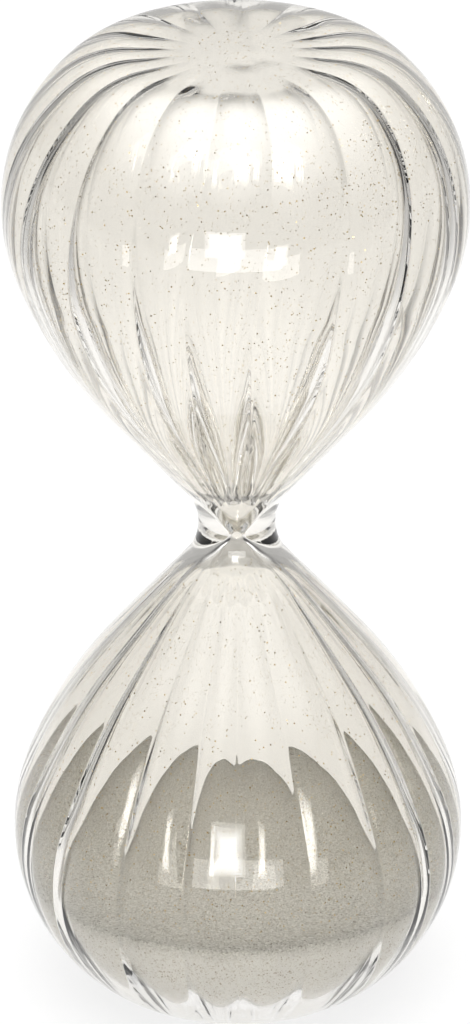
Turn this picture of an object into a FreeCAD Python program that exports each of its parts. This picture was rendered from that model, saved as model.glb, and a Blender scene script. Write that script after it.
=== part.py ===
import FreeCAD, Part
import math
import os

import Sketcher

# A frameless blown-glass hourglass: two ribbed bulbs on a thick throat, standing on the
# flat of the lower bulb.  Millimetres, +Z up, origin at the centre of the flat it stands on.
#
# Both bulbs are one shape.  It is drawn with the middle of the neck as its origin and the
# bulb reaching up the Z axis, then placed twice: once upright and once turned over.

# ---------------------------------------------------------------------------------------
# Driving dimensions
# ---------------------------------------------------------------------------------------
SIZES = {
    # outer outline, from the middle of the neck to the crown
    "half_height": 140.0,       # middle of the neck to the flat of a crown
    "neck_radius": 10.6,        # narrowest outside radius
    "neck_arc": 17.0,           # hollow curve of the neck
    "flank_angle": 50.5,        # slope of the straight flank above the neck
    "shoulder_arc": 136.0,      # long easy curve above the flank
    "shoulder_angle": 69.5,     # slope where that curve ends
    "belly_arc": 51.5,          # tight curve round the widest place
    "belly_angle": 138.0,       # slope where the belly turns in to the crown
    "crown_arc": 26.0,          # last curve down to the flat
    # inner wall: thick at the neck and the crown, thin at the belly
    "neck_wall": 4.4,           # across the wall where a bulb meets the neck
    "crown_wall": 6.0,          # glass in the flat of a crown
    "inner_flank_angle": 48.5,
    "inner_shoulder_arc": 115.0,
    "inner_shoulder_angle": 72.0,
    "inner_belly_arc": 46.0,
    "inner_belly_angle": 138.0,
    "inner_crown_arc": 20.0,
    # ribs inside the wall
    "rib_count": 18.0,
    "rib_radius": 1.9,          # round bar that makes a rib
    "rib_depth": 2.4,           # from the outside surface to the bar's centre line
    "rib_crown_start": 20.0,    # radius where a rib starts, inside the crown glass
    "upper_rib_turn": 5.0,      # first rib from the front, seen from above
    "lower_rib_turn": 2.0,
    # throat
    "orifice_radius": 1.3,
    # sand and what rests in it
    "sand_level": 35.6,         # height of its surface on the axis, above the stand
    "sand_dip": 4.0,            # the surface stands higher at the front, by this angle
    "sand_gap": 0.1,            # kept clear of the glass all round
    # filling hole in the flat of the lower bulb
    "hole_radius": 6.0,
    "stopper_recess": 1.6,      # stopper face above the stand
    "stopper_chamfer": 0.5,
    "seal_recess": 0.5,         # adhesive face above the stand
    "seal_dish": 0.35,          # hollow of the adhesive's free face
    # glitter and grains
    "fleck_radius": 0.4,
    "fleck_thickness": 0.12,
    "fleck_stand_off": 0.2,
    "grain_radius": 0.35,
    "grain_gap": 0.05,
}

FLECKS_IN_A_BULB = 108
GRAINS_IN_THE_THROAT = 7
GOLDEN_ANGLE = 180.0 * (3.0 - math.sqrt(5.0))
SAMPLES_PER_FLECK = 20

# Glitter lies in the middle part of each panel, clear of the ribs, along these shares of
# the wall line from the neck joint to the crown.
PANEL_USE = 0.4
UPPER_GLITTER_REACH = (0.10, 0.84)
LOWER_GLITTER_REACH = (0.10, 0.66)

# Places on the outline that follow from the driving dimensions, as sheet expressions.
JOINT_RADIUS = "sizes.neck_radius + sizes.neck_arc * (1 - sin(sizes.flank_angle * 1 deg))"
JOINT_HEIGHT = "sizes.neck_arc * cos(sizes.flank_angle * 1 deg)"
JOINT_BORE = JOINT_RADIUS + " - sizes.neck_wall / sin(sizes.flank_angle * 1 deg)"

doc = FreeCAD.newDocument("hourglass")
sheet = doc.addObject("Spreadsheet::Sheet", "sizes")
for row, (alias, value) in enumerate(SIZES.items(), start=1):
    sheet.set("A%d" % row, alias)
    sheet.set("B%d" % row, str(value))
    sheet.setAlias("B%d" % row, alias)
doc.recompute()


def size(name):
    """A driving dimension, read back from the sheet."""
    return float(sheet.get(name))


def sine(degrees):
    return math.sin(math.radians(degrees))


def cosine(degrees):
    return math.cos(math.radians(degrees))


def point(radius, height):
    """A point of a half section: radius to the right, height up."""
    return FreeCAD.Vector(radius, height, 0)


# ---------------------------------------------------------------------------------------
# A wall line: one straight flank and three arcs, each tangent to the next
# ---------------------------------------------------------------------------------------
class WallLine:
    """The half section of one side of the bulb's wall, from the neck joint to the crown.

    It leaves the joint at the flank angle and turns left through the shoulder, belly and
    crown arcs until it runs level, towards the axis, at the given height.
    """

    def __init__(self, start, angles, arcs, height):
        self.start = start                    # (radius, height) at the neck joint
        self.angles = list(angles) + [180.0]  # slope at the start of each arc, and at the end
        self.arcs = list(arcs)
        self.height = height

    def flank_length(self):
        """The straight takes up whatever height the arcs leave."""
        rise = 0.0
        for arc, first, last in zip(self.arcs, self.angles, self.angles[1:]):
            rise += arc * (cosine(first) - cosine(last))
        return (self.height - self.start[1] - rise) / sine(self.angles[0])

    def edges(self):
        """The straight and the three arcs as curves, from the joint to the crown."""
        slope = self.angles[0]
        radius = self.start[0] + self.flank_length() * cosine(slope)
        height = self.start[1] + self.flank_length() * sine(slope)
        curves = [Part.LineSegment(point(*self.start), point(radius, height))]
        for arc, first, last in zip(self.arcs, self.angles, self.angles[1:]):
            centre = point(radius - arc * sine(first), height + arc * cosine(first))
            circle = Part.Circle(centre, FreeCAD.Vector(0, 0, 1), arc)
            curves.append(Part.ArcOfCircle(circle, math.radians(first - 90), math.radians(last - 90)))
            radius = centre.x + arc * sine(last)
            height = centre.y - arc * cosine(last)
        return curves


def joint_radius():
    return size("neck_radius") + size("neck_arc") * (1 - sine(size("flank_angle")))


def joint_height():
    return size("neck_arc") * cosine(size("flank_angle"))


def joint_bore():
    return joint_radius() - size("neck_wall") / sine(size("flank_angle"))


def outer_wall(depth=0.0):
    """The outside surface, or a line the given depth inside the glass."""
    slope = size("flank_angle")
    start = (joint_radius() - depth * sine(slope), joint_height() + depth * cosine(slope))
    angles = (slope, size("shoulder_angle"), size("belly_angle"))
    arcs = (size("shoulder_arc") - depth, size("belly_arc") - depth, size("crown_arc") - depth)
    return WallLine(start, angles, arcs, size("half_height") - depth)


def inner_wall(gap=0.0):
    """The inside surface, or a line the given gap inside the hollow."""
    slope = size("inner_flank_angle")
    start = (joint_bore() - gap / sine(slope), joint_height())
    angles = (slope, size("inner_shoulder_angle"), size("inner_belly_angle"))
    arcs = (
        size("inner_shoulder_arc") - gap,
        size("inner_belly_arc") - gap,
        size("inner_crown_arc") - gap,
    )
    return WallLine(start, angles, arcs, size("half_height") - size("crown_wall") - gap)


# ---------------------------------------------------------------------------------------
# Bodies and sketches
# ---------------------------------------------------------------------------------------
def new_body(label):
    body = doc.addObject("PartDesign::Body", label)
    body.Label = label
    return body


def origin_part(body, role):
    """One of the body's own origin planes or axes."""
    return next(item for item in body.Origin.OriginFeatures if item.Role == role)


def new_sketch(body, name, role="XZ_Plane"):
    sketch = body.newObject("Sketcher::SketchObject", name)
    sketch.AttachmentSupport = [(origin_part(body, role), "")]
    sketch.MapMode = "FlatFace"
    return sketch


def bind(sketch, constraint, expression):
    """Add a dimension to a sketch and let the sheet drive it."""
    number = sketch.addConstraint(constraint)
    sketch.setExpression("Constraints[%d]" % number, expression)


def add_line(sketch, first, last):
    return sketch.addGeometry(Part.LineSegment(point(*first), point(*last)), False)


def join(sketch, first, first_end, second, second_end):
    sketch.addConstraint(Sketcher.Constraint("Coincident", first, first_end, second, second_end))


def add_wall(sketch, wall, start_expressions, slope_expression, arc_expressions, turn_expressions):
    """Draw a wall line with its dimensions; return the numbers of its four curves."""
    curves = [sketch.addGeometry(curve, False) for curve in wall.edges()]
    flank = curves[0]
    for first, second in zip(curves, curves[1:]):
        sketch.addConstraint(Sketcher.Constraint("Tangent", first, 2, second, 1))
    radius, height = wall.start
    bind(sketch, Sketcher.Constraint("DistanceX", -1, 1, flank, 1, radius), start_expressions[0])
    bind(sketch, Sketcher.Constraint("DistanceY", -1, 1, flank, 1, height), start_expressions[1])
    slope = math.radians(wall.angles[0])
    bind(sketch, Sketcher.Constraint("Angle", flank, slope), slope_expression)
    for curve, arc, expression in zip(curves[1:], wall.arcs, arc_expressions):
        bind(sketch, Sketcher.Constraint("Radius", curve, arc), expression)
    turns = [last - first for first, last in zip(wall.angles, wall.angles[1:])]
    for curve, turn, expression in zip(curves[1:], turns, turn_expressions):
        bind(sketch, Sketcher.Constraint("Angle", curve, math.radians(turn)), expression)
    return curves


def add_outer_wall(sketch, depth="0"):
    """The outside wall line, or one set into the glass by a depth given as an expression."""
    inset = float(sheet.get(depth)) if depth != "0" else 0.0
    measure = "sizes." + depth if depth != "0" else "0"
    return add_wall(
        sketch,
        outer_wall(inset),
        (
            JOINT_RADIUS + " - %s * sin(sizes.flank_angle * 1 deg)" % measure,
            JOINT_HEIGHT + " + %s * cos(sizes.flank_angle * 1 deg)" % measure,
        ),
        "sizes.flank_angle * 1 deg",
        ["sizes.%s - %s" % (arc, measure) for arc in ("shoulder_arc", "belly_arc", "crown_arc")],
        (
            "(sizes.shoulder_angle - sizes.flank_angle) * 1 deg",
            "(sizes.belly_angle - sizes.shoulder_angle) * 1 deg",
        ),
    )


def add_inner_wall(sketch, gap="0"):
    """The inside wall line, or one set into the hollow by a gap given as an expression."""
    inset = float(sheet.get(gap)) if gap != "0" else 0.0
    measure = "sizes." + gap if gap != "0" else "0"
    arcs = ("inner_shoulder_arc", "inner_belly_arc", "inner_crown_arc")
    return add_wall(
        sketch,
        inner_wall(inset),
        (
            JOINT_BORE + " - %s / sin(sizes.inner_flank_angle * 1 deg)" % measure,
            JOINT_HEIGHT,
        ),
        "sizes.inner_flank_angle * 1 deg",
        ["sizes.%s - %s" % (arc, measure) for arc in arcs],
        (
            "(sizes.inner_shoulder_angle - sizes.inner_flank_angle) * 1 deg",
            "(sizes.inner_belly_angle - sizes.inner_shoulder_angle) * 1 deg",
        ),
    )


def close_at_top(sketch, wall_curves, wall, height_expression):
    """A level line from the end of a wall line to the axis."""
    end = wall.edges()[-1].EndPoint
    flat = add_line(sketch, (end.x, end.y), (0.0, wall.height))
    sketch.addConstraint(Sketcher.Constraint("Tangent", wall_curves[-1], 2, flat, 1))
    sketch.addConstraint(Sketcher.Constraint("Horizontal", flat))
    sketch.addConstraint(Sketcher.Constraint("PointOnObject", flat, 2, -2))
    bind(sketch, Sketcher.Constraint("DistanceY", -1, 1, flat, 2, wall.height), height_expression)
    return flat


def revolve(body, sketch, name):
    feature = body.newObject("PartDesign::Revolution", name)
    feature.Profile = sketch
    feature.ReferenceAxis = (sketch, ["V_Axis"])
    feature.Angle = 360.0
    doc.recompute()
    return feature


def repeat_round_axis(body, feature, name):
    """One copy of a feature for each rib, evenly round the Z axis."""
    pattern = body.newObject("PartDesign::PolarPattern", name)
    pattern.Originals = [feature]
    pattern.Axis = (origin_part(body, "Z_Axis"), [""])
    pattern.Angle = 360.0
    pattern.Occurrences = int(size("rib_count"))
    pattern.setExpression("Occurrences", "sizes.rib_count")
    body.Tip = pattern
    doc.recompute()
    return pattern


# ---------------------------------------------------------------------------------------
# Glass
# ---------------------------------------------------------------------------------------
def draw_rib_bar(body, bar_radius, radius_expression):
    """The centre line of a rib, just inside the outer surface, and its round section."""
    path = new_sketch(body, body.Name + "_rib_line")
    wall = outer_wall(size("rib_depth"))
    curves = add_outer_wall(path, "rib_depth")
    end = wall.edges()[-1].EndPoint
    lead = add_line(path, (end.x, end.y), (size("rib_crown_start"), wall.height))
    path.addConstraint(Sketcher.Constraint("Tangent", curves[-1], 2, lead, 1))
    path.addConstraint(Sketcher.Constraint("Horizontal", lead))
    bind(
        path,
        Sketcher.Constraint("DistanceX", -1, 1, lead, 2, size("rib_crown_start")),
        "sizes.rib_crown_start",
    )
    bind(
        path,
        Sketcher.Constraint("DistanceY", -1, 1, lead, 2, wall.height),
        "sizes.half_height - sizes.rib_depth",
    )
    section = new_sketch(body, body.Name + "_rib_section", "YZ_Plane")
    section.setExpression(".AttachmentOffset.Base.z", "sizes.rib_crown_start")
    circle = Part.Circle(point(0, wall.height), FreeCAD.Vector(0, 0, 1), bar_radius)
    bar = section.addGeometry(circle, False)
    section.addConstraint(Sketcher.Constraint("PointOnObject", bar, 3, -2))
    bind(
        section,
        Sketcher.Constraint("DistanceY", -1, 1, bar, 3, wall.height),
        "sizes.half_height - sizes.rib_depth",
    )
    bind(section, Sketcher.Constraint("Radius", bar, bar_radius), radius_expression)
    doc.recompute()
    return path, section


def cut_ribs(body, bar_radius, radius_expression):
    """Take the round bars of the ribs out of a body that fills the hollow of a bulb."""
    path, section = draw_rib_bar(body, bar_radius, radius_expression)
    groove = body.newObject("PartDesign::SubtractivePipe", body.Name + "_groove")
    groove.Profile = section
    groove.Spine = (path, ["Edge%d" % number for number in (5, 4, 3, 2, 1)])
    body.Tip = groove
    doc.recompute()
    return repeat_round_axis(body, groove, body.Name + "_grooves")


def fill_hollow(label, gap="0"):
    """The hollow of a bulb as a solid, before the ribs are taken out of it."""
    body = new_body(label)
    sketch = new_sketch(body, label + "_section")
    wall = inner_wall(size(gap) if gap != "0" else 0.0)
    side = add_inner_wall(sketch, gap)
    top = "sizes.half_height - sizes.crown_wall - " + ("sizes." + gap if gap != "0" else "0")
    floor = close_at_top(sketch, side, wall, top)
    axis = add_line(sketch, (0.0, wall.height), (0.0, wall.start[1]))
    mouth = add_line(sketch, (0.0, wall.start[1]), wall.start)
    join(sketch, floor, 2, axis, 1)
    join(sketch, axis, 2, mouth, 1)
    join(sketch, mouth, 2, side[0], 1)
    revolve(body, sketch, label + "_turned")
    return body


def make_outline(label):
    """The outside of a bulb as a solid, from the neck joint to the flat of the crown."""
    body = new_body(label)
    sketch = new_sketch(body, label + "_section")
    wall = outer_wall()
    side = add_outer_wall(sketch)
    crown = close_at_top(sketch, side, wall, "sizes.half_height")
    axis = add_line(sketch, (0.0, wall.height), (0.0, wall.start[1]))
    joint = add_line(sketch, (0.0, wall.start[1]), wall.start)
    join(sketch, crown, 2, axis, 1)
    join(sketch, axis, 2, joint, 1)
    join(sketch, joint, 2, side[0], 1)
    revolve(body, sketch, label + "_turned")
    return body


def make_filling_hole(body):
    """The round hole through the flat of the lower bulb, bored from outside."""
    circle = new_sketch(body, "filling_hole_circle", "XY_Plane")
    circle.setExpression(".AttachmentOffset.Base.z", "sizes.half_height")
    rim = circle.addGeometry(
        Part.Circle(point(0, 0), FreeCAD.Vector(0, 0, 1), size("hole_radius")), False
    )
    join(circle, rim, 3, -1, 1)
    bind(circle, Sketcher.Constraint("Radius", rim, size("hole_radius")), "sizes.hole_radius")
    hole = body.newObject("PartDesign::Pocket", "filling_hole")
    hole.Profile = circle
    hole.setExpression("Length", "sizes.crown_wall")
    body.Tip = hole
    doc.recompute()
    return hole


def make_bulb(label, with_filling_hole):
    """One bulb: its outside less its ribbed hollow."""
    outline = make_outline(label + "_outline")
    if with_filling_hole:
        make_filling_hole(outline)
    hollow = fill_hollow(label + "_hollow")
    cut_ribs(hollow, size("rib_radius"), "sizes.rib_radius")
    bulb = doc.addObject("Part::Cut", label)
    bulb.Label = label
    bulb.Base = outline
    bulb.Tool = hollow
    doc.recompute()
    return bulb


def make_neck():
    """The throat: a waisted outside and a smooth double funnel down to the orifice."""
    body = new_body("neck")
    sketch = new_sketch(body, "neck_section")
    top, waist = joint_height(), size("neck_radius") + size("neck_arc")
    outside = sketch.addGeometry(
        Part.ArcOfCircle(
            Part.Circle(point(waist, 0), FreeCAD.Vector(0, 0, 1), size("neck_arc")),
            math.radians(90 + size("flank_angle")),
            math.radians(270 - size("flank_angle")),
        ),
        False,
    )
    slope = size("inner_flank_angle")
    run = joint_bore() - size("orifice_radius") - top / math.tan(math.radians(slope))
    bend = run / (1 - sine(slope) - cosine(slope) / math.tan(math.radians(slope)))
    bend_top = (size("orifice_radius") + bend * (1 - sine(slope)), bend * cosine(slope))
    throat = sketch.addGeometry(
        Part.ArcOfCircle(
            Part.Circle(
                point(size("orifice_radius") + bend, 0), FreeCAD.Vector(0, 0, 1), bend
            ),
            math.radians(90 + slope),
            math.radians(270 - slope),
        ),
        False,
    )
    upper = add_line(sketch, bend_top, (joint_bore(), top))
    lower = add_line(sketch, (bend_top[0], -bend_top[1]), (joint_bore(), -top))
    top_face = add_line(sketch, (joint_bore(), top), (joint_radius(), top))
    bottom_face = add_line(sketch, (joint_bore(), -top), (joint_radius(), -top))
    sketch.addConstraint(Sketcher.Constraint("Tangent", throat, 1, upper, 1))
    sketch.addConstraint(Sketcher.Constraint("Tangent", throat, 2, lower, 1))
    join(sketch, upper, 2, top_face, 1)
    join(sketch, top_face, 2, outside, 1)
    join(sketch, lower, 2, bottom_face, 1)
    join(sketch, bottom_face, 2, outside, 2)
    sketch.addConstraint(Sketcher.Constraint("Horizontal", top_face))
    sketch.addConstraint(Sketcher.Constraint("Horizontal", bottom_face))
    sketch.addConstraint(Sketcher.Constraint("PointOnObject", outside, 3, -1))
    sketch.addConstraint(Sketcher.Constraint("PointOnObject", throat, 3, -1))
    bind(sketch, Sketcher.Constraint("Radius", outside, size("neck_arc")), "sizes.neck_arc")
    bind(sketch, Sketcher.Constraint("DistanceX", -1, 1, outside, 3, waist),
         "sizes.neck_radius + sizes.neck_arc")
    bind(sketch, Sketcher.Constraint("DistanceY", -1, 1, top_face, 2, top), JOINT_HEIGHT)
    bind(sketch, Sketcher.Constraint("DistanceY", bottom_face, 2, -1, 1, top), JOINT_HEIGHT)
    bind(sketch, Sketcher.Constraint("DistanceX", -1, 1, upper, 2, joint_bore()), JOINT_BORE)
    bind(sketch, Sketcher.Constraint("DistanceX", -1, 1, lower, 2, joint_bore()), JOINT_BORE)
    bind(sketch, Sketcher.Constraint("Angle", upper, math.radians(slope)),
         "sizes.inner_flank_angle * 1 deg")
    revolve(body, sketch, "neck_wall")
    body.setExpression(".Placement.Base.z", "sizes.half_height")
    return body


# ---------------------------------------------------------------------------------------
# Sand and the filling hole's closure
# ---------------------------------------------------------------------------------------
def make_sand():
    """The hollow of the lower bulb, filled and then levelled, with a groove for each rib.

    The surface tips about the line that runs from left to right once the bulb is turned
    over; in the bulb's own drawing that line lies against the bulb's turn.
    """
    body = fill_hollow("sand_bed", "sand_gap")
    circle = new_sketch(body, "sand_level_circle", "XY_Plane")
    tip_line = FreeCAD.Vector(-cosine(lower_turn), -sine(lower_turn), 0)
    circle.AttachmentOffset = FreeCAD.Placement(
        FreeCAD.Vector(0, 0, size("half_height") - size("sand_level")),
        FreeCAD.Rotation(tip_line, size("sand_dip")),
    )
    circle.setExpression(".AttachmentOffset.Base.z", "sizes.half_height - sizes.sand_level")
    circle.setExpression(".AttachmentOffset.Rotation.Angle", "sizes.sand_dip * 1 deg")
    rim = circle.addGeometry(
        Part.Circle(point(0, 0), FreeCAD.Vector(0, 0, 1), size("half_height")), False
    )
    join(circle, rim, 3, -1, 1)
    bind(circle, Sketcher.Constraint("Radius", rim, size("half_height")), "sizes.half_height")
    above = body.newObject("PartDesign::Pocket", "above_the_sand")
    above.Profile = circle
    above.Type = 1
    body.Tip = above
    doc.recompute()
    cut_ribs(body, size("rib_radius") + size("sand_gap"), "sizes.rib_radius + sizes.sand_gap")
    return body


def make_stopper():
    """The plug, flush with the floor inside and chamfered at both ends."""
    body = new_body("fill_stopper")
    circle = new_sketch(body, "stopper_circle", "XY_Plane")
    circle.setExpression(".AttachmentOffset.Base.z", "sizes.stopper_recess")
    rim = circle.addGeometry(
        Part.Circle(point(0, 0), FreeCAD.Vector(0, 0, 1), size("hole_radius")), False
    )
    join(circle, rim, 3, -1, 1)
    bind(circle, Sketcher.Constraint("Radius", rim, size("hole_radius")), "sizes.hole_radius")
    plug = body.newObject("PartDesign::Pad", "stopper_plug")
    plug.Profile = circle
    plug.setExpression("Length", "sizes.crown_wall - sizes.stopper_recess")
    doc.recompute()
    edges = [
        "Edge%d" % number
        for number, edge in enumerate(plug.Shape.Edges, start=1)
        if isinstance(edge.Curve, Part.Circle)
    ]
    chamfer = body.newObject("PartDesign::Chamfer", "stopper_chamfers")
    chamfer.Base = (plug, edges)
    chamfer.setExpression("Size", "sizes.stopper_chamfer")
    body.Tip = chamfer
    doc.recompute()
    return body


def make_seal():
    """The disc of clear adhesive under the plug, its free face drawn in to a shallow dish."""
    body = new_body("stopper_seal")
    sketch = new_sketch(body, "seal_section")
    radius, low, high = size("hole_radius"), size("seal_recess"), size("stopper_recess")
    dish = size("seal_dish")
    reach = (radius * radius + dish * dish) / (2 * dish)
    spread = math.degrees(math.asin(radius / reach))
    face = sketch.addGeometry(
        Part.ArcOfCircle(
            Part.Circle(point(0, low + dish - reach), FreeCAD.Vector(0, 0, 1), reach),
            math.radians(90 - spread),
            math.radians(90),
        ),
        False,
    )
    wall = add_line(sketch, (radius, low), (radius, high))
    back = add_line(sketch, (radius, high), (0, high))
    axis = add_line(sketch, (0, high), (0, low + dish))
    join(sketch, face, 1, wall, 1)
    join(sketch, wall, 2, back, 1)
    join(sketch, back, 2, axis, 1)
    join(sketch, axis, 2, face, 2)
    sketch.addConstraint(Sketcher.Constraint("Vertical", wall))
    sketch.addConstraint(Sketcher.Constraint("Horizontal", back))
    sketch.addConstraint(Sketcher.Constraint("Vertical", axis))
    sketch.addConstraint(Sketcher.Constraint("PointOnObject", axis, 1, -2))
    sketch.addConstraint(Sketcher.Constraint("PointOnObject", face, 3, -2))
    bind(sketch, Sketcher.Constraint("DistanceX", -1, 1, wall, 1, radius), "sizes.hole_radius")
    bind(sketch, Sketcher.Constraint("DistanceY", -1, 1, wall, 1, low), "sizes.seal_recess")
    bind(sketch, Sketcher.Constraint("DistanceY", -1, 1, back, 1, high), "sizes.stopper_recess")
    bind(sketch, Sketcher.Constraint("DistanceY", -1, 1, face, 2, low + dish),
         "sizes.seal_recess + sizes.seal_dish")
    revolve(body, sketch, "seal_disc")
    return body


# ---------------------------------------------------------------------------------------
# Glitter and grains: many small separate solids in one sub-part
# ---------------------------------------------------------------------------------------
def fleck(place, facing):
    """A hexagonal flake of foil lying against the wall."""
    across = facing.cross(FreeCAD.Vector(0, 0, 1)).normalize() * size("fleck_radius")
    along = across.cross(facing).normalize() * size("fleck_radius")
    corners = [
        place + across * cosine(60.0 * corner) + along * sine(60.0 * corner)
        for corner in range(7)
    ]
    face = Part.Face(Part.makePolygon(corners))
    return face.extrude(facing * size("fleck_thickness"))


def make_glitter(label, share_of_height):
    """Flecks on the inside of a bulb, in the panels between the ribs.

    They are spread with the golden angle, and share_of_height says which stretch of the
    wall line they lie on, as lengths along it over its whole length.
    """
    wire = Part.Wire([curve.toShape() for curve in inner_wall(size("fleck_stand_off")).edges()])
    lowest, highest = share_of_height
    samples = wire.discretize(Number=SAMPLES_PER_FLECK * FLECKS_IN_A_BULB)
    panel = 360.0 / size("rib_count")
    flecks = []
    for number in range(FLECKS_IN_A_BULB):
        share = lowest + (highest - lowest) * (number + 0.5) / FLECKS_IN_A_BULB
        sample = int(share * (len(samples) - 2))
        here, ahead = samples[sample], samples[sample + 1]
        slope = (ahead - here).normalize()
        azimuth = number * GOLDEN_ANGLE
        from_middle = (azimuth % panel) / panel - 0.5
        angle = panel * (math.floor(azimuth / panel) + 0.5 + PANEL_USE * from_middle)
        out = FreeCAD.Vector(cosine(angle), sine(angle), 0)
        place = out * here.x + FreeCAD.Vector(0, 0, here.y)
        facing = FreeCAD.Vector(0, 0, slope.x) - out * slope.y
        flecks.append(fleck(place, facing))
    glitter = doc.addObject("Part::Feature", label)
    glitter.Shape = Part.makeCompound(flecks)
    return glitter


def make_grains():
    """Grains lying on the funnel just above the orifice, in a loose ring."""
    slope = size("inner_flank_angle")
    clearance = size("grain_radius") + size("grain_gap")
    seat_height = 0.5 * joint_height()
    seat_radius = joint_bore() - (joint_height() - seat_height) / math.tan(math.radians(slope))
    ring = seat_radius - clearance / sine(slope)
    grains = []
    for number in range(GRAINS_IN_THE_THROAT):
        angle = number * 360.0 / GRAINS_IN_THE_THROAT
        place = FreeCAD.Vector(ring * cosine(angle), ring * sine(angle), seat_height)
        grains.append(Part.makeSphere(size("grain_radius"), place))
    loose = doc.addObject("Part::Feature", "throat_grains")
    loose.Shape = Part.makeCompound(grains)
    return loose


# ---------------------------------------------------------------------------------------
# Assembly
# ---------------------------------------------------------------------------------------
def stand_upright(item, turn):
    """Put a piece drawn from the middle of the neck on the upper side."""
    item.Placement = FreeCAD.Placement(
        FreeCAD.Vector(0, 0, size("half_height")),
        FreeCAD.Rotation(FreeCAD.Vector(0, 0, 1), turn),
    )


def turn_over(item, turn):
    """Put a piece drawn from the middle of the neck on the lower side, upside down."""
    over = FreeCAD.Rotation(FreeCAD.Vector(1, 0, 0), 180)
    item.Placement = FreeCAD.Placement(
        FreeCAD.Vector(0, 0, size("half_height")),
        FreeCAD.Rotation(FreeCAD.Vector(0, 0, 1), turn) * over,
    )


front = -90.0
upper_turn = front + size("upper_rib_turn")
lower_turn = front + size("lower_rib_turn")

upper_bulb = make_bulb("upper_bulb", with_filling_hole=False)
lower_bulb = make_bulb("lower_bulb", with_filling_hole=True)
neck = make_neck()
sand_bed = make_sand()
fill_stopper = make_stopper()
stopper_seal = make_seal()
upper_glitter = make_glitter("upper_glitter", UPPER_GLITTER_REACH)
lower_glitter = make_glitter("lower_glitter", LOWER_GLITTER_REACH)
throat_grains = make_grains()

stand_upright(upper_bulb, upper_turn)
stand_upright(upper_glitter, upper_turn)
stand_upright(throat_grains, 0.0)
for flipped in (lower_bulb, sand_bed, lower_glitter):
    turn_over(flipped, lower_turn)

SUB_PARTS = [
    upper_bulb, lower_bulb, neck, sand_bed, upper_glitter, lower_glitter,
    throat_grains, fill_stopper, stopper_seal,
]
doc.recompute()


def check_document():
    """Stop before anything is written if an object failed or a shape is not sound."""
    for item in doc.Objects:
        if "Invalid" in item.State or "Error" in item.State:
            raise RuntimeError("%s did not compute: %s" % (item.Name, item.State))
    for item in SUB_PARTS:
        if item.Shape.isNull() or not item.Shape.isValid():
            raise RuntimeError("%s has no sound shape" % item.Label)


check_document()
os.makedirs("parts", exist_ok=True)
for item in SUB_PARTS:
    item.Shape.exportStep("parts/%s.step" % item.Label)
    box = item.Shape.BoundBox
    print("%-14s solids %3d  volume %10.1f mm3  z %7.2f to %7.2f  widest %6.2f" % (
        item.Label, len(item.Shape.Solids), item.Shape.Volume, box.ZMin, box.ZMax, box.XLength))
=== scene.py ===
# %% [markdown]
# # A blown-glass hourglass
# The object is one clear glass body: two ribbed bulbs joined by a thick throat, with
# warm-grey sand in the lower bulb and gold glitter clinging to the inside of the glass.
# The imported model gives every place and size.  This lesson makes the glass, the sand and
# the glitter again as fine surfaces, because light bends at every curve of the glass and a
# coarse wall would show its facets.

# %% Load the frame
import math

import bpy
import numpy as np
from mathutils import Matrix, Vector


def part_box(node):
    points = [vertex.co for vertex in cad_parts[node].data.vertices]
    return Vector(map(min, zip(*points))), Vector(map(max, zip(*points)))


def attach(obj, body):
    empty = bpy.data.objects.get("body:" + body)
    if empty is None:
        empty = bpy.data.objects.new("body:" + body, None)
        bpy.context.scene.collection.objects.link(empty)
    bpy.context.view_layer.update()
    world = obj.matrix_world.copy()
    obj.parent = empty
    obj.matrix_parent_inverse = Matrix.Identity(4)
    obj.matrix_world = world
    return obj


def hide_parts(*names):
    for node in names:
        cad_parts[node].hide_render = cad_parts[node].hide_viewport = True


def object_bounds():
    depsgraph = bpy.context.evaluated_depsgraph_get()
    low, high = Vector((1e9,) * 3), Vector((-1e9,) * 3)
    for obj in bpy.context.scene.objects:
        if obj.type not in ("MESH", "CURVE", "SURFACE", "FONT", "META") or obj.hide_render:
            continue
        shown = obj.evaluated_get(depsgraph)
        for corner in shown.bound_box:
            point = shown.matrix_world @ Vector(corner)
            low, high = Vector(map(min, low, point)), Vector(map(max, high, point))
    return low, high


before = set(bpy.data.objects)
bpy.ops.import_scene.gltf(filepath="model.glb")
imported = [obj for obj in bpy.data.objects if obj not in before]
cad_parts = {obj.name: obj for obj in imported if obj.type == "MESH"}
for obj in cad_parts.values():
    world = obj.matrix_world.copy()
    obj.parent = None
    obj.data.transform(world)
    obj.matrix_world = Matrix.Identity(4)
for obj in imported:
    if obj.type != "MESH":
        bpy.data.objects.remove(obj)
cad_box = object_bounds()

MM = 0.001
neck_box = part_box("neck")
sand_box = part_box("sand_bed")
stopper_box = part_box("fill_stopper")
height = cad_box[1][2] - cad_box[0][2]
neck_height = 0.5 * (neck_box[0][2] + neck_box[1][2])
half_height = height - neck_height
sand_level = sand_box[1][2]
hole_radius = stopper_box[1][0]
print("height %.4f  neck at %.4f  sand level %.4f  filling hole radius %.4f"
      % (height, neck_height, sand_level, hole_radius))

# %% [markdown]
# Every piece below is a grid of points: rows run down a profile and columns run round the
# axis.  A grid is quick to compute with numpy as one array, and its quads are easy to list.
# The alternative, spinning a curve with Blender's own Spin or Screw, gives a round shape
# only, and this glass is ribbed.


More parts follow.
